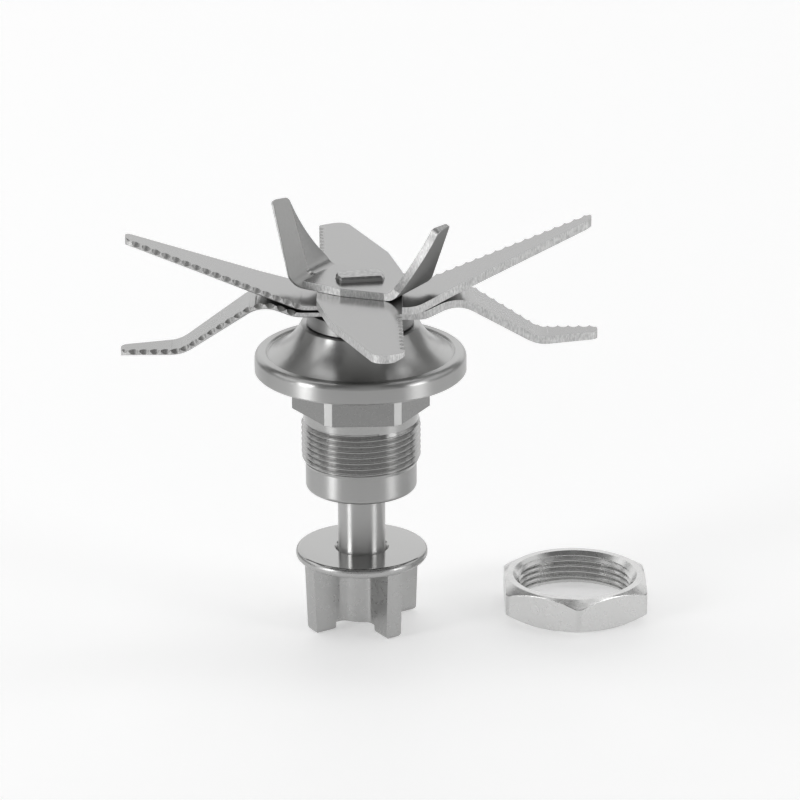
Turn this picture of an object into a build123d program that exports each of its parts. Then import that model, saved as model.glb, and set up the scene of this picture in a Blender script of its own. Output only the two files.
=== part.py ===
from build123d import *
import math
import os

# Blade assembly of a jug blender, in millimetres, +Z up along the spindle.
# The origin is on the spindle's axis, on the flange underside that seats on the jug's floor.

# Bearing housing, turned from one bar. Lengths run down from the flange seat unless named as heights.
flange_d = 53.0
rim_height = 5.3
rim_round = 1.6
rim_chamfer = 0.5
rim_land = 1.2
gutter_depth = 0.5
housing_height = 12.6
neck_d = 29.8
cone_sag = 1.1
hex_af = 31.0
hex_corner_d = 34.6
hex_length = 9.5
hex_turn = 2.0
undercut_d = 29.0
undercut_length = 2.9
thread_d = 30.0
thread_length = 11.7
thread_chamfer = 0.9
spigot_d = 28.0
spigot_length = 6.9
spigot_round = 1.2
web_length = 3.0
web_bore_d = 14.0

# Spindle, bushes, washers and seals inside the housing
spindle_d = 12.0
running_gap = 0.04
press_gap = 0.01
bush_d = 18.0
upper_bush_length = 14.0
lower_bush_length = 8.0
chamber_d = 19.0
washer_gap = 0.3
nylon_washer_t = 1.0
steel_washer_t = 0.8
end_float = 0.05
thrust_collar_d = 17.0
thrust_collar_t = 1.75
seal_d = 22.0
seal_width = 5.0
seal_case_wall = 1.0
seal_flange_d = 16.0
seal_lip_gap = 0.05
seal_lip_t = 1.6
seal_recess = 0.8
seal_clear = 0.6
clip_t = 1.0
clip_groove_d = 11.4
clip_width = 1.7
clip_ear_r = 1.3
clip_hole_r = 0.6
clip_opening = 44.0

# Blade stack on the spindle's two-flat tang
tang_flats = 6.0
tang_turn = 8.6
tang_stand = 1.3
tang_chamfer = 0.5
tang_gap = 0.05
collar_gap = 0.3
collar_height = 3.2
collar_bottom_d = 26.8
collar_top_d = 25.8
plate_t = 2.0
tooth_pitch = 2.65
tooth_depth = 1.2
flute_r = 1.36
flute_length = 8.0
edge_land = 1.0
edge_under = 2.4
overcut = 0.5

# Top blade: two short arms bent steeply up, one wide facet ground along each leading edge
top_turn = -31.6
top_bend_at = 11.2
top_bend_r = 4.0
top_bend = 62.0
top_arm_length = 18.6
top_hub_lead = 9.4
top_lead_root = 9.0
top_trail_root = 7.0
top_lead_tip = 2.8
top_tip_rake = 1.0
top_trail_tip = 2.2
top_trail_waist = 3.9
top_trail_waist_at = 6.0
top_facet_root = 2.4
top_edge_t = 0.5
top_tip_round = 1.3

# Flat blade: two level arms with a straight toothed edge and a raked back edge
flat_turn = 97.0
flat_reach = 54.0
flat_tip_rake = 2.8
flat_lead_tip = 4.3
flat_trail_tip = 2.8
flat_lead_root = 7.4
flat_root_at = 23.0
flat_trail_mid = 10.5
flat_mid_at = 26.0
flat_hub = 12.0
flat_hub_at = 9.5
flat_tip_round = 3.4
flat_lead_round = 1.6

# Raised blade: two long arms bent up, toothed leading edges
raised_bend_at = 14.6
raised_bend = 22.3
raised_reach = 57.6
raised_tip_round = 2.4
raised_lead = 9.5
raised_trail_tip = 4.3
raised_trail_root = -5.8
raised_root_at = 24.4
raised_hub = -10.8
raised_hub_at = 12.0

# Lowered blade: two long arms that rise under the raised blade, fall and level out at the tips
lowered_rise_at = 16.0
lowered_rise = 21.0
lowered_crest_at = 24.5
lowered_fall = 32.8
lowered_level_at = 44.5
lowered_reach = 59.4
lowered_tip_round = 2.2
lowered_lead = 8.6
lowered_trail_tip = 3.7
lowered_trail_root = -7.2
lowered_root_at = 20.0
long_bend_r = 9.0
long_root_round = 12.0

# Drive coupling under the housing, cast in one piece with four vanes
drive_drop = 16.3
disc_d = 33.4
disc_t = 2.5
disc_round = 1.1
disc_bore_chamfer = 0.9
vane_count = 4
vane_turn = 32.0
vane_t = 4.3
vane_d = 31.6
vane_draft = 0.75
vane_height = 17.8
vane_lead_in = 1.3
boss_d = 14.0
boss_fillet = 2.4
boss_relief = 2.2
spindle_seat_depth = 15.5
drive_gap = 0.02

# Retaining nut, lying beside the assembly on the surface it stands on
nut_turn = 30.0
nut_af = 36.0
nut_corner_d = 40.8
nut_height = 9.0
nut_face_d = 35.0
nut_chamfer_angle = 30.0
nut_bore_d = 28.4
nut_mouth_d = 31.7
nut_x = 54.6
nut_y = 8.1

# Levels along the spindle, worked out from the sizes above
hex_bottom = -hex_length
thread_top = hex_bottom - undercut_length
thread_bottom = thread_top - thread_length
housing_bottom = thread_bottom - spigot_length
upper_seal_top = housing_height - seal_recess
upper_seal_seat = upper_seal_top - seal_width
thrust_top = upper_seal_seat - seal_clear
thrust_bottom = thrust_top - thrust_collar_t
upper_washer_top = thrust_bottom - end_float
upper_bush_top = upper_washer_top - nylon_washer_t
web_top = upper_bush_top - upper_bush_length
web_bottom = web_top - web_length
lower_bush_bottom = web_bottom - lower_bush_length
lower_nylon_bottom = lower_bush_bottom - nylon_washer_t
lower_steel_bottom = lower_nylon_bottom - steel_washer_t
clip_top = lower_steel_bottom - end_float
clip_bottom = clip_top - clip_t
lower_seal_seat = clip_bottom - seal_clear
collar_bottom = housing_height + collar_gap
lowered_z = collar_bottom + collar_height
raised_z = lowered_z + plate_t
flat_z = raised_z + plate_t
top_z = flat_z + plate_t
tang_top = top_z + plate_t + tang_stand
disc_top = housing_bottom - drive_drop
disc_bottom = disc_top - disc_t
vane_bottom = disc_bottom - vane_height
boss_bottom = vane_bottom + boss_relief
spindle_bottom = disc_top - spindle_seat_depth


def turned(outline):
    """A solid turned about Z from an outline in the XZ plane."""
    return revolve(make_face(Plane.XZ * outline), Axis.Z)


def ring(outer_d, inner_d, bottom, top):
    """A plain ring about Z between two levels."""
    face = Circle(outer_d / 2) - Circle(inner_d / 2)
    return extrude(Pos(0, 0, bottom) * face, top - bottom)


def rod(diameter, bottom, top):
    """A plain cylinder about Z between two levels."""
    return extrude(Pos(0, 0, bottom) * Circle(diameter / 2), top - bottom)


def hexagon(across_flats, turn):
    """A hexagon with a flat facing -Y, turned about Z."""
    corner_r = across_flats / math.sqrt(3)
    return Rot(0, 0, turn) * RegularPolygon(corner_r, 6)


def tang_section(gap):
    """The spindle's round section with two flats, grown by a gap."""
    round_part = Circle(spindle_d / 2 + gap)
    flats = Rectangle(spindle_d + 2 * gap, tang_flats + 2 * gap)
    return Rot(0, 0, tang_turn) * (round_part & flats)


def off_axis(point):
    """How far a point lies from the spindle's axis."""
    return math.hypot(point.X, point.Y)


def both_arms(shape):
    """A blade arm and its copy half a turn away."""
    return shape + Rot(0, 0, 180) * shape


def tang_hole(bottom, top):
    """The hole that lets a plate or the collar onto the tang."""
    return extrude(Pos(0, 0, bottom) * tang_section(tang_gap), top - bottom)


def bend_line(side):
    """Middle line of a bent plate's side view, in the XZ plane, with rounded bends."""
    return Plane.XZ * FilletPolyline(*side, radius=long_bend_r)


def along_bends(side, section):
    """A section, drawn with Y across the plate and Z up, swept along a side view."""
    path = bend_line(side)
    return sweep(Plane(path @ 0, x_dir=(0, 1, 0), z_dir=path % 0) * section, path)


def edge_bevel():
    """Section ground off the underside of a leading edge, the edge at the origin at half thickness."""
    under = -plate_t / 2 - overcut
    land = plate_t / 2 - edge_land
    back = edge_under * (under - land) / (plate_t - edge_land)
    return make_face(
        Polyline((0, land), (overcut, land), (overcut, under), (back, under), close=True)
    )


def flute():
    """Leaning grinder's cut that makes one tooth, full depth at the plate's top and out at its land.

    The edge runs along X through the origin, at half the plate's thickness, with the plate towards -Y.
    """
    lean = math.atan2(tooth_depth, edge_land)
    out = flute_r / math.cos(lean) - tooth_depth
    return Pos(0, out, plate_t / 2) * Rot(math.degrees(lean), 0, 0) * Cylinder(flute_r, flute_length)


def flutes(side, lead, start):
    """Cuts at even steps along a leading edge on a plate bent to a side view."""
    path = bend_line(side)
    cuts = []
    for index in range(int((path.length - start) / tooth_pitch)):
        share = (start + (index + 0.5) * tooth_pitch) / path.length
        point = path @ share
        tangent = path % share
        slope = math.degrees(math.atan2(tangent.Z, tangent.X))
        cuts.append(Pos(point.X, lead, point.Z) * Rot(0, -slope, 0) * flute())
    return cuts


def long_blade(side, lead, plan, start):
    """Plate bent to a side view, cut to an arm's plan, its leading edges ground and toothed."""
    arm = along_bends(side, Rectangle(flange_d, plate_t))
    arm &= extrude(plan, housing_height + flange_d)
    arm -= along_bends(side, Pos(lead, 0) * edge_bevel())
    arm -= flutes(side, lead, start)
    return both_arms(arm)


def bearing_housing():
    rim_r = flange_d / 2
    cone_foot = Vector(rim_r - rim_round - rim_land - gutter_depth, rim_height - gutter_depth)
    cone_head = Vector(neck_d / 2, housing_height)
    slope = (cone_head - cone_foot).normalized()
    cone_middle = (cone_foot + cone_head) / 2 + Vector(-slope.Y, slope.X) * cone_sag
    flange = Polyline(
        (0, housing_height),
        (0, 0),
        (rim_r - rim_chamfer, 0),
        (rim_r, rim_chamfer),
        (rim_r, rim_height - rim_round),
    )
    flange += RadiusArc((rim_r, rim_height - rim_round), (rim_r - rim_round, rim_height), -rim_round)
    flange += Polyline(
        (rim_r - rim_round, rim_height),
        (rim_r - rim_round - rim_land, rim_height),
        (cone_foot.X, cone_foot.Y),
    )
    flange += ThreePointArc(
        (cone_foot.X, cone_foot.Y),
        (cone_middle.X, cone_middle.Y),
        (cone_head.X, cone_head.Y),
    )
    flange += Line((cone_head.X, cone_head.Y), (0, housing_height))
    hex_part = extrude(hexagon(hex_af, hex_turn), -hex_length)
    hex_part &= rod(hex_corner_d, hex_bottom, 0)
    thread_r = thread_d / 2
    thread_run = (thread_d - spigot_d) / 2 + thread_chamfer
    shank = Polyline(
        (0, hex_bottom),
        (undercut_d / 2, hex_bottom),
        (undercut_d / 2, thread_top),
        (thread_r, thread_top - thread_chamfer),
        (thread_r, thread_bottom + thread_run),
        (spigot_d / 2, thread_bottom),
        (spigot_d / 2, housing_bottom + spigot_round),
    )
    shank += RadiusArc(
        (spigot_d / 2, housing_bottom + spigot_round),
        (spigot_d / 2 - spigot_round, housing_bottom),
        spigot_round,
    )
    shank += Polyline(
        (spigot_d / 2 - spigot_round, housing_bottom),
        (0, housing_bottom),
        (0, hex_bottom),
    )
    body = turned(flange) + hex_part + turned(shank)
    body -= rod(seal_d, upper_seal_seat, housing_height)
    body -= rod(chamber_d, upper_bush_top, upper_seal_seat)
    body -= rod(bush_d, web_top, upper_bush_top)
    body -= rod(web_bore_d, web_bottom, web_top)
    body -= rod(bush_d, lower_bush_bottom, web_bottom)
    body -= rod(chamber_d, lower_seal_seat, lower_bush_bottom)
    body -= rod(seal_d, housing_bottom, lower_seal_seat)
    return body


def spindle():
    shaft = rod(spindle_d, spindle_bottom, collar_bottom)
    shaft = chamfer(shaft.edges().group_by(Axis.Z)[0], tang_chamfer)
    shaft += rod(thrust_collar_d, thrust_bottom, thrust_top)
    shaft -= ring(spindle_d + 2 * end_float, clip_groove_d, clip_bottom, clip_top)
    tang = extrude(Pos(0, 0, collar_bottom) * tang_section(0), tang_top - collar_bottom)
    tang = chamfer(tang.edges().group_by(Axis.Z)[-1], tang_chamfer)
    return shaft + tang


def bush(bottom, top):
    return ring(bush_d - 2 * press_gap, spindle_d + 2 * running_gap, bottom, top)


def thrust_washer(bottom, thickness):
    outer = chamber_d - 2 * washer_gap
    return ring(outer, spindle_d + 2 * washer_gap, bottom, bottom + thickness)


def seal_case(seat, side):
    """Pressed steel cup of a lip seal, its flange on the seat and open to the other side."""
    outer_r = seal_d / 2 - press_gap
    inner_r = outer_r - seal_case_wall
    outline = Polyline(
        (seal_flange_d / 2, seat),
        (outer_r, seat),
        (outer_r, seat + side * seal_width),
        (inner_r, seat + side * seal_width),
        (inner_r, seat + side * seal_case_wall),
        (seal_flange_d / 2, seat + side * seal_case_wall),
        close=True,
    )
    return turned(outline)


def seal_lip(seat, side):
    """Rubber lip bonded in the cup, leaning in to a narrow edge on the spindle."""
    wall_r = seal_d / 2 - press_gap - seal_case_wall - press_gap
    edge_r = spindle_d / 2 + seal_lip_gap
    floor = seat + side * (seal_case_wall + press_gap)
    lip = seat + side * seal_width
    outline = Polyline(
        (wall_r, floor),
        (wall_r, floor + side * seal_lip_t),
        (edge_r + seal_lip_t, floor + side * seal_lip_t),
        (edge_r + seal_lip_t, lip - side * seal_lip_t / 2),
        (edge_r, lip - side * seal_lip_t),
        (edge_r + seal_lip_t / 2, floor),
        close=True,
    )
    return turned(outline)


def spindle_clip():
    """Open spring ring with two eared ends, in the spindle's groove."""
    inner_r = clip_groove_d / 2 + press_gap
    outer_r = inner_r + clip_width
    ear_at = outer_r - clip_width / 3
    face = Circle(outer_r) - Circle(inner_r)
    half = math.radians(clip_opening / 2)
    far = 2 * outer_r
    mouth = make_face(
        Polyline(
            (0, 0),
            (far * math.cos(half), far * math.sin(half)),
            (far * math.cos(half), -far * math.sin(half)),
            close=True,
        )
    )
    face -= mouth
    for sign in (1, -1):
        angle = sign * (clip_opening / 2 + math.degrees(clip_ear_r / ear_at))
        place = Rot(0, 0, angle) * Pos(ear_at, 0)
        face += place * Circle(clip_ear_r) - Circle(inner_r)
        face -= place * Circle(clip_hole_r)
    return extrude(Pos(0, 0, clip_bottom) * face, clip_t)


def blade_collar():
    """Tapered spacer that carries the plates clear of the housing and throws liquid off."""
    outline = Polyline(
        (0, collar_bottom),
        (collar_bottom_d / 2, collar_bottom),
        (collar_top_d / 2, lowered_z),
        (0, lowered_z),
        close=True,
    )
    return turned(outline) - tang_hole(collar_bottom, lowered_z)


def top_blade():
    middle = top_z + plate_t / 2
    half_t = plate_t / 2
    edge_top = top_edge_t - half_t
    hub = make_face(
        Polyline(
            (top_bend_at, top_lead_root),
            (0, top_hub_lead),
            (-top_bend_at, top_trail_root),
            (-top_bend_at, -top_lead_root),
            (0, -top_hub_lead),
            (top_bend_at, -top_trail_root),
            close=True,
        )
    )
    plate = extrude(Pos(0, 0, top_z) * hub, plate_t)
    section = make_face(
        Polyline(
            (-top_trail_root, -half_t),
            (top_lead_root, -half_t),
            (top_lead_root, edge_top),
            (top_facet_root, half_t),
            (-top_trail_root, half_t),
            close=True,
        )
    )
    root = Plane((top_bend_at, 0, middle), x_dir=(0, 1, 0), z_dir=(1, 0, 0))
    bend_axis = Axis((top_bend_at, 0, middle + top_bend_r), (0, -1, 0))
    bend = revolve(root * section, bend_axis, top_bend)
    trail_tip = (top_arm_length - top_tip_rake, -top_trail_tip)
    trail_waist = (top_trail_waist_at, -top_trail_waist)
    trail_root = (0, -top_trail_root)
    straights = Polyline(trail_root, (0, top_lead_root), (top_arm_length, top_lead_tip), trail_tip)
    outline = make_face(straights + ThreePointArc(trail_tip, trail_waist, trail_root))
    outline = fillet(outline.vertices().sort_by(Axis.X)[-2:], top_tip_round)
    arm = extrude(outline, half_t, both=True)
    ridge_root = Vector(0, top_facet_root, half_t)
    ridge = Vector(*trail_tip, half_t) - ridge_root
    fall = Vector(0, top_lead_root, edge_top) - ridge_root
    facet = Plane(ridge_root, x_dir=ridge, z_dir=ridge.cross(fall))
    ground_off = Box(flange_d, flange_d, plate_t, align=(Align.CENTER, Align.CENTER, Align.MIN))
    arm -= facet * ground_off
    tilt = math.radians(top_bend)
    foot = (
        top_bend_at + top_bend_r * math.sin(tilt),
        0,
        middle + top_bend_r * (1 - math.cos(tilt)),
    )
    up_arm = (math.cos(tilt), 0, math.sin(tilt))
    off_arm = (-math.sin(tilt), 0, math.cos(tilt))
    arm = Plane(foot, x_dir=up_arm, z_dir=off_arm) * arm
    blade = plate + both_arms(bend + arm)
    return Rot(0, 0, top_turn) * blade - tang_hole(top_z, top_z + plate_t)


def flat_blade():
    lead_tip = Vector(flat_reach - flat_tip_rake, flat_lead_tip)
    lead_root = Vector(flat_root_at, flat_lead_root)
    arm = make_face(
        Polyline(
            (-flat_hub_at, flat_hub),
            (lead_root.X, lead_root.Y),
            (lead_tip.X, lead_tip.Y),
            (flat_reach, -flat_trail_tip),
            (flat_mid_at, -flat_trail_mid),
            (flat_hub_at, -flat_hub),
            close=True,
        )
    )
    arm = fillet(arm.vertices().sort_by(Axis.X)[-1:], flat_tip_round)
    arm = fillet(arm.vertices().sort_by_distance(lead_tip)[:1], flat_lead_round)
    plate = extrude(Pos(0, 0, flat_z) * arm, plate_t)
    edge = lead_tip - lead_root
    rake = math.degrees(math.atan2(edge.Y, edge.X))
    edge_place = Pos(lead_root.X, lead_root.Y, flat_z + plate_t / 2) * Rot(0, 0, rake)
    plate -= edge_place * extrude(Plane.YZ * edge_bevel(), edge.length + plate_t)
    for index in range(int(edge.length / tooth_pitch)):
        plate -= edge_place * Pos((index + 0.5) * tooth_pitch, 0) * flute()
    plate = Rot(0, 0, flat_turn) * both_arms(plate)
    return plate - tang_hole(flat_z, flat_z + plate_t)


def long_arm(lead, tip, root, hub, tip_round):
    """Plan of a long arm: leading edge straight, trailing edge raked in to a rounded tip."""
    reach = tip[0]
    arm = make_face(Polyline((0, lead), (reach, lead), tip, root, hub, (0, hub[1]), close=True))
    arm = fillet(arm.vertices().sort_by_distance(root)[0], long_root_round)
    return fillet(arm.vertices().group_by(Axis.X)[-1], tip_round)


def raised_blade():
    middle = raised_z + plate_t / 2
    far = raised_reach + plate_t
    top = middle + (far - raised_bend_at) * math.tan(math.radians(raised_bend))
    side = [(-raised_bend_at, middle), (raised_bend_at, middle), (far, top)]
    plan = long_arm(
        raised_lead,
        (raised_reach, raised_trail_tip),
        (raised_root_at, raised_trail_root),
        (raised_hub_at, raised_hub),
        raised_tip_round,
    )
    blade = long_blade(side, raised_lead, plan, 2 * raised_bend_at)
    return blade - tang_hole(raised_z, raised_z + plate_t)


def lowered_blade():
    middle = lowered_z + plate_t / 2
    crest = middle + (lowered_crest_at - lowered_rise_at) * math.tan(math.radians(lowered_rise))
    level = crest - (lowered_level_at - lowered_crest_at) * math.tan(math.radians(lowered_fall))
    far = lowered_reach + plate_t
    side = [
        (-lowered_rise_at, middle),
        (lowered_rise_at, middle),
        (lowered_crest_at, crest),
        (lowered_level_at, level),
        (far, level),
    ]
    plan = long_arm(
        lowered_lead,
        (lowered_reach, lowered_trail_tip),
        (lowered_root_at, lowered_trail_root),
        (lowered_rise_at, -lowered_lead),
        lowered_tip_round,
    )
    blade = long_blade(side, lowered_lead, plan, 2 * lowered_rise_at)
    return blade - tang_hole(lowered_z, lowered_z + plate_t)


def drive_coupling():
    plan = Circle(boss_d / 2)
    for index in range(vane_count):
        angle = vane_turn - 90 + index * 360 / vane_count
        plan += Rot(0, 0, angle) * Pos(vane_d / 4, 0) * Rectangle(vane_d / 2, vane_t)
    inside = vane_d / 3
    corners = plan.vertices().filter_by(lambda corner: off_axis(corner) < inside)
    plan = fillet(corners, boss_fillet)
    vanes = extrude(Pos(0, 0, vane_bottom) * plan, vane_height)
    draft = Polyline(
        (0, vane_bottom),
        (vane_d / 2 - vane_draft, vane_bottom),
        (vane_d / 2, disc_bottom),
        (0, disc_bottom),
        close=True,
    )
    vanes &= turned(draft)
    relief_r = boss_d / 2 + boss_fillet
    vanes -= rod(2 * relief_r, vane_bottom, boss_bottom)
    foot = vanes.edges().group_by(Axis.Z)[0]
    foot = foot.filter_by(lambda edge: off_axis(edge @ 0.5) > relief_r + press_gap)
    vanes = fillet(foot, vane_lead_in)
    disc = rod(disc_d, disc_bottom, disc_top)
    disc = fillet(disc.edges(), disc_round)
    bore_d = spindle_d + 2 * drive_gap
    mouth = Polyline(
        (0, spindle_bottom),
        (bore_d / 2, spindle_bottom),
        (bore_d / 2, disc_top - disc_bore_chamfer),
        (bore_d / 2 + disc_bore_chamfer, disc_top),
        (0, disc_top),
        close=True,
    )
    return disc + vanes - turned(mouth)


def retaining_nut():
    """Thin hexagon nut, both faces chamfered at the corners and at the mouth of the thread."""
    corner_r = nut_corner_d / 2
    face_r = nut_face_d / 2
    mouth_r = nut_mouth_d / 2
    bore_r = nut_bore_d / 2
    drop = (corner_r - face_r) * math.tan(math.radians(nut_chamfer_angle))
    mouth = mouth_r - bore_r
    outline = Polyline(
        (mouth_r, 0),
        (face_r, 0),
        (corner_r, drop),
        (corner_r, nut_height - drop),
        (face_r, nut_height),
        (mouth_r, nut_height),
        (bore_r, nut_height - mouth),
        (bore_r, mouth),
        close=True,
    )
    nut = extrude(hexagon(nut_af, nut_turn), nut_height) & turned(outline)
    return Pos(nut_x, nut_y, vane_bottom) * nut


nodes = {
    "bearing_housing": bearing_housing(),
    "upper_bush": bush(web_top, upper_bush_top),
    "lower_bush": bush(lower_bush_bottom, web_bottom),
    "upper_nylon_washer": thrust_washer(upper_bush_top, nylon_washer_t),
    "lower_nylon_washer": thrust_washer(lower_nylon_bottom, nylon_washer_t),
    "lower_steel_washer": thrust_washer(lower_steel_bottom, steel_washer_t),
    "upper_seal_case": seal_case(upper_seal_seat, 1),
    "upper_seal_lip": seal_lip(upper_seal_seat, 1),
    "lower_seal_case": seal_case(lower_seal_seat, -1),
    "lower_seal_lip": seal_lip(lower_seal_seat, -1),
    "spindle": spindle(),
    "spindle_clip": spindle_clip(),
    "blade_collar": blade_collar(),
    "lowered_blade": lowered_blade(),
    "raised_blade": raised_blade(),
    "flat_blade": flat_blade(),
    "top_blade": top_blade(),
    "drive_coupling": drive_coupling(),
    "retaining_nut": retaining_nut(),
}

os.makedirs("parts", exist_ok=True)
for name, shape in nodes.items():
    export_step(shape, f"parts/{name}.step")
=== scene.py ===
import math

import bpy
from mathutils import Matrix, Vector


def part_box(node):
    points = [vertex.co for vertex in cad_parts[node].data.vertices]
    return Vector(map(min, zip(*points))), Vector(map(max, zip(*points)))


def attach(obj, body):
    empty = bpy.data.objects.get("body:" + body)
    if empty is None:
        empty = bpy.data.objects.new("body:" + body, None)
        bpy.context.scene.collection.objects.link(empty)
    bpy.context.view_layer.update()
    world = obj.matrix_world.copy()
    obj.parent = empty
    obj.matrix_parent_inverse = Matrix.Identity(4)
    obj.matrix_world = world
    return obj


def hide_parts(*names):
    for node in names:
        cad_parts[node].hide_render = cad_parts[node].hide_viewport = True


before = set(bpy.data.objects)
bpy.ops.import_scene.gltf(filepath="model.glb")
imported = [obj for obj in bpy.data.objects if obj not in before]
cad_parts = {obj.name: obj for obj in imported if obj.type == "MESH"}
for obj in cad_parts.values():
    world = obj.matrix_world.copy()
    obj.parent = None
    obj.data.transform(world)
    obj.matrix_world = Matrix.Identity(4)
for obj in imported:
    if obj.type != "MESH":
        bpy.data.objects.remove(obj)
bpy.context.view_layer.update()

# Bearing housing: one stainless bar, turned to a cone, a rimmed flange and a plain spigot, with a
# milled hexagon and a cut M30 x 1.5 thread for the nut that clamps it. Its solid has a plain
# cylinder where the thread is, so a copy of it gets the cut thread.
thread_pitch = 0.0015
thread_top = -0.0124
thread_bottom = -0.0241
thread_crest_r = 0.0150
thread_root_r = 0.01412
thread_steps = 96
thread_crest_share = 0.06
thread_overcut = 0.25
thread_margin = 0.0002
hexagon_top = -0.0002
hexagon_bottom = -0.0088
hexagon_flat_r = 0.0165
side_tilt = 0.2
weld_gap = 0.000002
flat_within = math.radians(0.3)
turned_edge_break = 0.00012
broken_over = math.radians(50)
smooth_under = math.radians(24)
noise_low = 0.3
noise_high = 0.7
quarter_turn = 0.25
ring_depth = 0.00001
turned_colour = (0.40, 0.40, 0.396)
side_painted_light_colour = (0.45, 0.45, 0.446)
milled_colour = (0.26, 0.26, 0.257)
corner_highlight_colour = (0.54, 0.54, 0.535)


def take_up(piece):
    """Select one piece alone and make it the active one."""
    bpy.ops.object.select_all(action="DESELECT")
    piece.select_set(True)
    bpy.context.view_layer.objects.active = piece


def apply_modifiers(piece):
    """Make what a piece's modifiers do part of its mesh."""
    take_up(piece)
    for modifier in list(piece.modifiers):
        bpy.ops.object.modifier_apply(modifier=modifier.name)


def blank_of(node, name, edge_break, smooth=smooth_under):
    """A copy of a solid with its flat faces joined up and its sharp edges broken."""
    take_up(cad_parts[node])
    bpy.ops.object.duplicate()
    blank = bpy.context.active_object
    blank.name = name
    blank.data.name = name
    blank.parent = None
    blank.data.materials.clear()
    bpy.ops.object.mode_set(mode="EDIT")
    bpy.ops.mesh.select_all(action="SELECT")
    bpy.ops.mesh.remove_doubles(threshold=weld_gap)
    bpy.ops.mesh.customdata_custom_splitnormals_clear()
    bpy.ops.mesh.dissolve_limited(angle_limit=flat_within)
    bpy.ops.object.mode_set(mode="OBJECT")
    bevel = blank.modifiers.new("edge break", "BEVEL")
    bevel.width = edge_break
    bevel.segments = 1
    bevel.limit_method = "ANGLE"
    bevel.angle_limit = broken_over
    apply_modifiers(blank)
    bpy.ops.object.shade_smooth_by_angle(angle=smooth)
    return blank


def thread_cutter(name, deep_r, open_r, bottom, top):
    """A V-shaped screw tool about Z, narrow at one radius and wide open past the other."""
    reach = open_r + (open_r - deep_r) * thread_overcut
    narrow = thread_pitch * thread_crest_share
    open_share = 0.5 - thread_crest_share / 2
    wide = thread_pitch * open_share * (reach - deep_r) / (open_r - deep_r)
    corners = [(deep_r, narrow), (reach, wide), (reach, -wide), (deep_r, -narrow)]
    bpy.ops.mesh.primitive_circle_add(vertices=len(corners), radius=thread_pitch, fill_type="NOTHING")
    cutter = bpy.context.active_object
    cutter.name = name
    for vertex, (radius, height) in zip(cutter.data.vertices, corners):
        vertex.co = Vector((radius, 0, bottom + height))
    turns = (top - bottom) / thread_pitch
    screw = cutter.modifiers.new("screw", "SCREW")
    screw.axis = "Z"
    screw.angle = math.tau * turns
    screw.screw_offset = top - bottom
    screw.steps = int(thread_steps * turns)
    screw.render_steps = screw.steps
    screw.use_merge_vertices = False
    apply_modifiers(cutter)
    bpy.ops.object.mode_set(mode="EDIT")
    bpy.ops.mesh.select_all(action="DESELECT")
    bpy.ops.mesh.select_non_manifold()
    bpy.ops.mesh.edge_face_add()
    bpy.ops.mesh.select_all(action="SELECT")
    bpy.ops.mesh.normals_make_consistent(inside=False)
    bpy.ops.object.mode_set(mode="OBJECT")
    return cutter


def cut(blank, cutter):
    """Take a tool's shape out of a blank and throw the tool away."""
    saw = blank.modifiers.new("saw", "BOOLEAN")
    saw.operation = "DIFFERENCE"
    saw.solver = "EXACT"
    saw.object = cutter
    apply_modifiers(blank)
    bpy.data.objects.remove(cutter)
    bpy.ops.object.shade_smooth_by_angle(angle=smooth_under)


def shader_of(finish):
    return finish.node_tree.nodes["Principled BSDF"]


def bare_finish(name, colour, roughness=0.4, metallic=1.0):
    """An even finish that has no marks yet."""
    finish = bpy.data.materials.new(name)
    finish.use_nodes = True
    shader = shader_of(finish)
    shader.inputs["Base Color"].default_value = (*colour, 1)
    shader.inputs["Metallic"].default_value = metallic
    shader.inputs["Roughness"].default_value = roughness
    return finish


def grain(finish, fineness, stretch=(1, 1, 1), detail=3.0):
    """Cloudy marks fixed to the piece, stretched along its own axes."""
    nodes, links = finish.node_tree.nodes, finish.node_tree.links
    place = nodes.new("ShaderNodeTexCoord")
    pull = nodes.new("ShaderNodeMapping")
    pull.inputs["Scale"].default_value = stretch
    links.new(place.outputs["Object"], pull.inputs["Vector"])
    noise = nodes.new("ShaderNodeTexNoise")
    noise.inputs["Scale"].default_value = fineness
    noise.inputs["Detail"].default_value = detail
    links.new(pull.outputs["Vector"], noise.inputs["Vector"])
    return noise.outputs["Fac"]


def lathe_rings(finish, fineness, detail=2.0):
    """Marks in rings about Z, at even steps of height and radius, as a lathe tool leaves them."""
    nodes, links = finish.node_tree.nodes, finish.node_tree.links
    place = nodes.new("ShaderNodeTexCoord")
    split = nodes.new("ShaderNodeSeparateXYZ")
    links.new(place.outputs["Object"], split.inputs["Vector"])
    level = nodes.new("ShaderNodeCombineXYZ")
    links.new(split.outputs["X"], level.inputs["X"])
    links.new(split.outputs["Y"], level.inputs["Y"])
    radius = nodes.new("ShaderNodeVectorMath")
    radius.operation = "LENGTH"
    links.new(level.outputs["Vector"], radius.inputs[0])
    along = nodes.new("ShaderNodeMath")
    along.operation = "ADD"
    links.new(split.outputs["Z"], along.inputs[0])
    links.new(radius.outputs["Value"], along.inputs[1])
    noise = nodes.new("ShaderNodeTexNoise")
    noise.noise_dimensions = "1D"
    noise.inputs["Scale"].default_value = fineness
    noise.inputs["Detail"].default_value = detail
    links.new(along.outputs["Value"], noise.inputs["W"])
    return noise.outputs["Fac"]


def roughen(finish, marks, least, most):
    """Let the marks move the roughness between two limits."""
    nodes, links = finish.node_tree.nodes, finish.node_tree.links
    span = nodes.new("ShaderNodeMapRange")
    span.inputs["From Min"].default_value = noise_low
    span.inputs["From Max"].default_value = noise_high
    span.inputs["To Min"].default_value = least
    span.inputs["To Max"].default_value = most
    links.new(marks, span.inputs["Value"])
    links.new(span.outputs["Result"], shader_of(finish).inputs["Roughness"])


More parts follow.
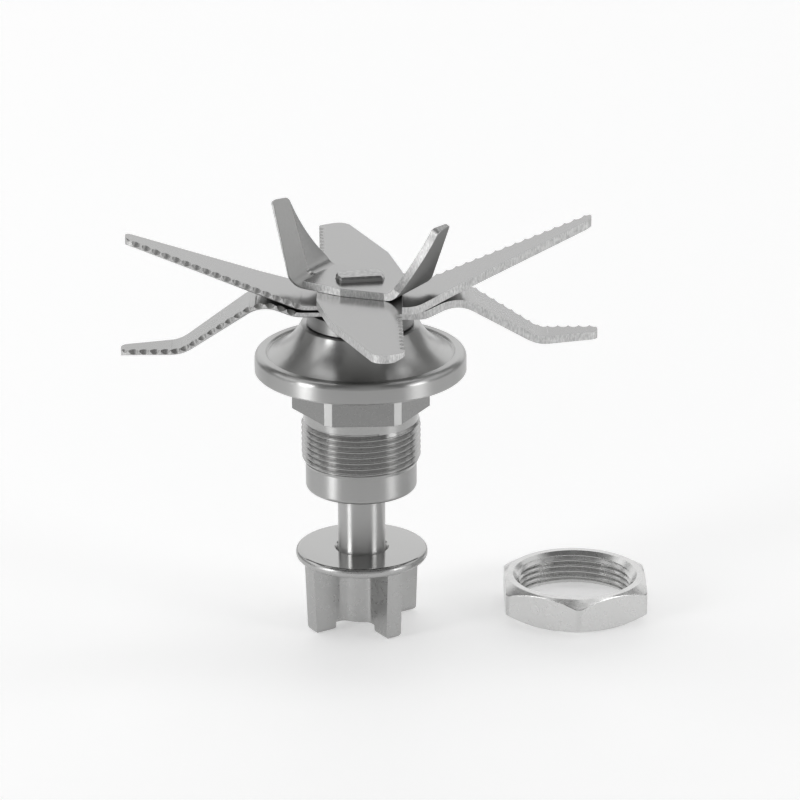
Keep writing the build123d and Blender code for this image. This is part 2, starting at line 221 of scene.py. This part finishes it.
def relief(finish, marks, strength, depth):
    """Let the marks raise and lower the surface by a depth in metres."""
    nodes, links = finish.node_tree.nodes, finish.node_tree.links
    bump = nodes.new("ShaderNodeBump")
    bump.inputs["Strength"].default_value = strength
    bump.inputs["Distance"].default_value = depth
    links.new(marks, bump.inputs["Height"])
    links.new(bump.outputs["Normal"], shader_of(finish).inputs["Normal"])


def spun(finish, anisotropy):
    """Stretch the highlights across tool marks that run round Z, so along the piece."""
    nodes, links = finish.node_tree.nodes, finish.node_tree.links
    around = nodes.new("ShaderNodeTangent")
    around.direction_type = "RADIAL"
    around.axis = "Z"
    shader = shader_of(finish)
    links.new(around.outputs["Tangent"], shader.inputs["Tangent"])
    shader.inputs["Anisotropic"].default_value = anisotropy
    shader.inputs["Anisotropic Rotation"].default_value = quarter_turn


def lathe_finish(name, colour, anisotropy, fineness, least, most, strength=0.05):
    """Steel turned or ground round Z, with fine rings that stretch its highlights."""
    finish = bare_finish(name, colour)
    spun(finish, anisotropy)
    marks = lathe_rings(finish, fineness)
    roughen(finish, marks, least, most)
    relief(finish, marks, strength, ring_depth)
    return finish


def grained_finish(name, colour, fineness, least, most, strength=0.0, depth=0.0,
                   stretch=(1, 1, 1), metallic=1.0):
    """A finish of one colour with a fine grain in its gloss and, given a depth, in its relief."""
    finish = bare_finish(name, colour, metallic=metallic)
    marks = grain(finish, fineness, stretch)
    roughen(finish, marks, least, most)
    if depth:
        relief(finish, marks, strength, depth)
    return finish


def paint(piece, finish, chosen):
    """Add a finish to a piece and give it to the faces that are chosen."""
    piece.data.materials.append(finish)
    index = len(piece.data.materials) - 1
    for face in piece.data.polygons:
        if chosen(face):
            face.material_index = index


def every_face(face):
    return True


def on_side(face):
    return abs(face.normal.z) < side_tilt


def beside_hexagon(face):
    return on_side(face) and hexagon_bottom < face.center.z < hexagon_top


def on_hexagon(face):
    return beside_hexagon(face) and face.center.xy.length < hexagon_flat_r


def on_thread(face):
    outside = face.center.xy.length > thread_root_r - thread_margin
    return outside and thread_bottom - thread_pitch < face.center.z < thread_top + thread_pitch


def stand_for(piece, node, body):
    """Let a finished piece take a solid's place on its body."""
    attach(piece, body)
    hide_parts(node)


turned_steel = lathe_finish("turned stainless", turned_colour, anisotropy=0.8,
                            fineness=3200, least=0.27, most=0.32)
# The housing's upright faces get a rougher gloss and a lighter colour; the lighter colour is a painted
# brighter reflection.
turned_side_painted_lighter = lathe_finish("turned side painted lighter", side_painted_light_colour, anisotropy=0.9,
                           fineness=3200, least=0.38, most=0.44)
# Painted highlight: the hexagon's rounded corner lands get a lighter colour that stands for the bright
# strips they reflect.
painted_corner_highlight = grained_finish("painted corner highlight", corner_highlight_colour, stretch=(1, 1, 0.2),
                             fineness=900, least=0.34, most=0.48)
milled_steel = grained_finish("milled stainless", milled_colour,
                              fineness=1800, least=0.24, most=0.38, strength=0.25, depth=0.00003)
cut_thread = grained_finish("cut thread", turned_colour, fineness=2500, least=0.21, most=0.28)
spun(cut_thread, anisotropy=0.85)

housing = blank_of("bearing_housing", "housing_body", turned_edge_break)
cut(housing, thread_cutter("thread_tool", thread_root_r, thread_crest_r, thread_bottom, thread_top))
paint(housing, turned_steel, every_face)
# Upright faces take the lighter colour, a painted reflection, over the turned steel.
paint(housing, turned_side_painted_lighter, on_side)
# The hexagon's sides take the painted highlight colour; its flats are then given the milled finish.
paint(housing, painted_corner_highlight, beside_hexagon)
paint(housing, milled_steel, on_hexagon)
paint(housing, cut_thread, on_thread)
stand_for(housing, "bearing_housing", "housing")

# Bushes: two sintered bronze sleeves pressed into the housing's bore and soaked in oil.
# Their solids already have the true form. The pressed powder leaves fine open pores.
bronze_colour = (0.62, 0.43, 0.21)
pore_colour = (0.36, 0.23, 0.10)


def darken(finish, marks, dark):
    """Let the marks move the colour between a dark one and the finish's own."""
    nodes, links = finish.node_tree.nodes, finish.node_tree.links
    colour = shader_of(finish).inputs["Base Color"]
    ramp = nodes.new("ShaderNodeValToRGB")
    ramp.color_ramp.elements[0].position = noise_low
    ramp.color_ramp.elements[0].color = (*dark, 1)
    ramp.color_ramp.elements[1].position = noise_high
    ramp.color_ramp.elements[1].color = colour.default_value
    links.new(marks, ramp.inputs["Fac"])
    links.new(ramp.outputs["Color"], colour)


def mottled_finish(name, colour, dark, roughness, fineness, strength=0.0, depth=0.0,
                   stretch=(1, 1, 1), detail=3.0, metallic=1.0):
    """A finish of one gloss with spots of a dark colour and, given a depth, a relief to match."""
    finish = bare_finish(name, colour, roughness, metallic)
    marks = grain(finish, fineness, stretch, detail)
    darken(finish, marks, dark)
    if depth:
        relief(finish, marks, strength, depth)
    return finish


def finish_solid(node, finish):
    """Give a solid that is already in its true form its finished surface."""
    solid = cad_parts[node]
    solid.data.materials.clear()
    solid.data.materials.append(finish)


sintered_bronze = mottled_finish("sintered bronze", bronze_colour, pore_colour, roughness=0.42,
                                 fineness=3000, strength=0.4, depth=0.00004)
for node in ("upper_bush", "lower_bush"):
    finish_solid(node, sintered_bronze)

# Spindle: ground stainless shaft, put in from above, with a two-flat tang for the blades.
# The tang's end is peened over the top blade by hammer, so it is dented and dull there.
spindle_edge_break = 0.0001
top_plate_height = 0.0021
peened_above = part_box("flat_blade")[1].z + top_plate_height
ground_colour = (0.50, 0.50, 0.495)
peened_colour = (0.46, 0.46, 0.455)
dent_colour = (0.30, 0.30, 0.30)
ground_steel = lathe_finish("ground stainless", ground_colour, anisotropy=0.92,
                            fineness=7000, least=0.34, most=0.40, strength=0.15)
peened_steel = mottled_finish("peened stainless", peened_colour, dent_colour, roughness=0.3,
                              fineness=900, detail=1.5, strength=0.5, depth=0.0002)
spindle = blank_of("spindle", "spindle_shaft", spindle_edge_break)
paint(spindle, ground_steel, every_face)
paint(spindle, peened_steel, lambda face: face.center.z > peened_above)
stand_for(spindle, "spindle", "rotor")

# Thrust washers: natural nylon against the bushes' ends, and a blanked steel one for the clip to
# bear on. They lie loose on the spindle. The nylon is faintly cloudy.
nylon_colour = (0.83, 0.80, 0.71)
cloud_colour = (0.74, 0.70, 0.60)
natural_nylon = mottled_finish("natural nylon", nylon_colour, cloud_colour, roughness=0.45,
                               fineness=400, metallic=0.0)
for node in ("upper_nylon_washer", "lower_nylon_washer"):
    finish_solid(node, natural_nylon)
finish_solid("lower_steel_washer", turned_steel)

# Spindle clip: blanked spring steel, oil hardened dark, snapped into the spindle's groove inside
# the housing. It keeps the spindle from lifting out.
spring_colour = (0.20, 0.20, 0.21)
scale_colour = (0.11, 0.11, 0.12)
spring_steel = mottled_finish("spring steel", spring_colour, scale_colour, roughness=0.35,
                              fineness=1800)
finish_solid("spindle_clip", spring_steel)

# Lip seals: pressed steel cups with a moulded nitrile lip, one driven into each end of the
# housing. The rubber has the dull, slightly grained skin of its mould.
nitrile_colour = (0.025, 0.025, 0.025)
nitrile = grained_finish("black nitrile", nitrile_colour, metallic=0.0,
                         fineness=2200, least=0.42, most=0.60, strength=0.3, depth=0.00003)
for end in ("upper", "lower"):
    finish_solid(f"{end}_seal_case", turned_steel)
    finish_solid(f"{end}_seal_lip", nitrile)

# Blade collar: turned stainless spacer on the tang. It holds the plates clear of the housing
# and turns with them. It is left as turned and rougher than the housing, and its colour is
# painted darker as the shade of the blades above it.
collar_shade_colour = (0.25, 0.25, 0.248)
dull_steel_painted_shade = lathe_finish("dull turned stainless, painted shade", collar_shade_colour, anisotropy=0.6,
                          fineness=2200, least=0.36, most=0.46, strength=0.1)
finish_solid("blade_collar", dull_steel_painted_shade)

# Blades: four stainless plates, blanked, ground along their leading edges, bent, and stacked on
# the tang. Their tops are rolled smooth, their undersides satin, the sheared edges torn and
# mottled and the ground teeth and facets bright. The metal behind a face tells which it is.
plate_edge_break = 0.00008
plate_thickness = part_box("flat_blade")[1].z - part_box("flat_blade")[0].z
plate_slack = plate_thickness / 8
edge_from = 1.6 * plate_thickness
square_over = 0.9
half_of_face = 0.5
ray_start = 0.000012
underside_tilt = -0.2
facet_smooth_under = math.radians(10.5)
facet_step_tilt = 0.05
facet_step_area = 0.000005
hub_r = 0.0145
plate_colour = (0.335, 0.335, 0.332)
satin_colour = (0.43, 0.43, 0.426)
sheared_colour = (0.68, 0.68, 0.675)
torn_colour = (0.42, 0.42, 0.42)
facet_colour = (0.43, 0.43, 0.425)
rolled_plate = grained_finish("rolled plate", plate_colour,
                              fineness=1500, least=0.16, most=0.22, strength=0.05, depth=0.00001)
satin_plate = grained_finish("satin plate", satin_colour,
                             fineness=1500, least=0.42, most=0.50, strength=0.1, depth=0.00002)
sheared_edge = mottled_finish("sheared edge", sheared_colour, torn_colour, roughness=0.48,
                              fineness=2600, stretch=(1, 1, 0.4), detail=4.0, strength=0.3, depth=0.00008)
ground_edge = grained_finish("ground edge", facet_colour, stretch=(1, 1, 0.15),
                             fineness=2400, least=0.36, most=0.50, strength=0.2, depth=0.00003)


def metal_behind(piece, triangle):
    """How far it is through the piece from a triangle, and how square the far face is to it."""
    inside = triangle.center - triangle.normal * ray_start
    hit, place, far_normal, _ = piece.ray_cast(inside, -triangle.normal)
    if not hit:
        return 0.0, 0.0
    return (place - triangle.center).length, -far_normal.dot(triangle.normal)


def face_shares(piece):
    """For each face, the shares of it that back on to the plate's other side and to its far edge."""
    bpy.context.view_layer.update()
    piece.data.calc_loop_triangles()
    flat = [0.0] * len(piece.data.polygons)
    deep = [0.0] * len(piece.data.polygons)
    for triangle in piece.data.loop_triangles:
        index = triangle.polygon_index
        share = triangle.area / piece.data.polygons[index].area
        depth, squareness = metal_behind(piece, triangle)
        if squareness > square_over and abs(depth - plate_thickness) < plate_slack:
            flat[index] += share
        if depth > edge_from:
            deep[index] += share
    return flat, deep


def ends_facet(face):
    """The small upright step where the top blade's ground facet ends at its hub."""
    upright = abs(face.normal.z) < facet_step_tilt
    return upright and face.center.xy.length < hub_r and face.area < facet_step_area


for node in ("lowered_blade", "raised_blade", "flat_blade", "top_blade"):
    smooth = facet_smooth_under if node == "top_blade" else smooth_under
    blade = blank_of(node, f"{node}_plate", plate_edge_break, smooth)
    flat, deep = face_shares(blade)
    paint(blade, ground_edge, every_face)
    paint(blade, rolled_plate, lambda face: flat[face.index] > half_of_face)
    paint(blade, satin_plate,
          lambda face: flat[face.index] > half_of_face and face.normal.z < underside_tilt)
    paint(blade, sheared_edge, lambda face: deep[face.index] > half_of_face and not ends_facet(face))
    stand_for(blade, node, "rotor")

# Drive coupling: cast stainless disc with a boss and four vanes, tumbled smooth, pressed on the
# spindle's lower end. The disc's upper face is turned and polished bright.
coupling_edge_break = 0.0001
polish_depth = 0.0003
disc_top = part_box("drive_coupling")[1].z
cast_colour = (0.43, 0.43, 0.426)
polished_colour = (0.41, 0.41, 0.405)
cast_steel = grained_finish("cast stainless", cast_colour,
                            fineness=700, least=0.24, most=0.40, strength=0.12, depth=0.0001)
polished_steel = bare_finish("polished stainless", polished_colour)
polish_rings = lathe_rings(polished_steel, fineness=3000)
roughen(polished_steel, polish_rings, least=0.07, most=0.13)
relief(polished_steel, polish_rings, strength=0.1, depth=ring_depth)
coupling = blank_of("drive_coupling", "coupling_body", coupling_edge_break)
paint(coupling, cast_steel, every_face)
paint(coupling, polished_steel, lambda face: face.center.z > disc_top - polish_depth)
stand_for(coupling, "drive_coupling", "rotor")

# Retaining nut: steel, turned and threaded to suit the housing, then plated bright. It is shown
# taken off. The plating is smooth with a faint ripple.
nut_bore_r = 0.0142
nut_root_r = 0.0150
nut_low, nut_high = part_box("retaining_nut")
nut_middle = (nut_low + nut_high) / 2
plating_colour = (0.62, 0.62, 0.615)
bright_plating = grained_finish("bright plating", plating_colour,
                                fineness=350, least=0.20, most=0.32, strength=0.08, depth=0.0001)
nut = blank_of("retaining_nut", "nut_body", turned_edge_break)
tap = thread_cutter("tap", nut_root_r, nut_bore_r, nut_low.z - thread_pitch, nut_high.z + thread_pitch)
tap.location = (nut_middle.x, nut_middle.y, 0)
bpy.ops.object.transform_apply(location=True, rotation=False, scale=False)
cut(nut, tap)
paint(nut, bright_plating, every_face)
stand_for(nut, "retaining_nut", "housing")

# Studio: a pale, faintly glowing table that the coupling and the nut stand on, in a dim room.
# Wide panels hang behind, above and at both sides, with a dimmer one in front, and two bright
# strips near the camera's sides draw the tall highlights on the turned steel.
table_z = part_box("drive_coupling")[0].z
table_size = 12
table_colour = (0.92, 0.92, 0.92)
table_glow = 0.34
room_grey = 0.16
white = (1, 1, 1, 1)
strip_aim = (0, 0, -0.03)
bpy.ops.mesh.primitive_plane_add(size=table_size, location=(0, 0, table_z))
table = bpy.context.active_object
table.name = "table"
bpy.ops.object.transform_apply(location=True, rotation=False, scale=False)
table_white = bare_finish("table white", table_colour, roughness=0.6, metallic=0.0)
shader_of(table_white).inputs["Emission Color"].default_value = white
shader_of(table_white).inputs["Emission Strength"].default_value = table_glow
table.data.materials.append(table_white)

room = bpy.data.worlds.new("dim room")
bpy.context.scene.world = room
room.use_nodes = True
surround = room.node_tree.nodes["Background"]
surround.inputs["Color"].default_value = white
surround.inputs["Strength"].default_value = room_grey
bpy.context.scene.view_settings.view_transform = "Standard"


def softbox(name, place, width, height, brightness, aim=(0, 0, 0)):
    """A white panel light of an even brightness that faces a point."""
    lamp = bpy.data.lights.new(name, "AREA")
    lamp.shape = "RECTANGLE"
    lamp.size = width
    lamp.size_y = height
    lamp.energy = brightness * math.pi * width * height
    panel = bpy.data.objects.new(name, lamp)
    bpy.context.collection.objects.link(panel)
    panel.location = place
    panel.rotation_euler = (Vector(aim) - Vector(place)).to_track_quat("-Z", "Y").to_euler()


softbox("back", place=(0, 1.6, 0.65), width=3.0, height=1.2, brightness=0.95)
softbox("above", place=(0, 0.33, 1.2), width=1.4, height=0.36, brightness=1.6)
softbox("front", place=(0, -1.9, 0.8), width=3.0, height=0.9, brightness=0.45)
softbox("left side", place=(-1.3, 0.3, 0.85), width=1.2, height=1.0, brightness=1.15)
softbox("right side", place=(1.3, 0.3, 0.85), width=1.2, height=1.0, brightness=0.8)
softbox("left strip", place=(-0.87, -0.49, 0.2), width=0.28, height=0.55, brightness=7.0, aim=strip_aim)
softbox("right strip", place=(0.89, -0.45, 0.2), width=0.34, height=0.55, brightness=3.6, aim=strip_aim)

# Camera: the photograph's view, 19.5 degrees above level and about a metre away. The spindle's
# axis stands left of the picture's middle there, and the lens shift keeps it so.
view_height = math.radians(19.5)
view_distance = 1.04
view_roll = math.radians(-0.4)
focal_pixels = 4160
image_pixels = 800
axis_pixel = (360.6, 370.0)
sensor_mm = 36
camera_data = bpy.data.cameras.new("photo view")
camera_data.sensor_width = sensor_mm
camera_data.lens = focal_pixels * sensor_mm / image_pixels
camera_data.shift_x = 0.5 - axis_pixel[0] / image_pixels
camera_data.shift_y = axis_pixel[1] / image_pixels - 0.5
camera = bpy.data.objects.new("photo view", camera_data)
bpy.context.collection.objects.link(camera)
away = Vector((0, -math.cos(view_height), math.sin(view_height)))
camera.location = away * view_distance
camera.rotation_euler = (-away).to_track_quat("-Z", "Y").to_euler()
camera.rotation_euler.rotate_axis("Z", view_roll)
bpy.context.scene.camera = camera
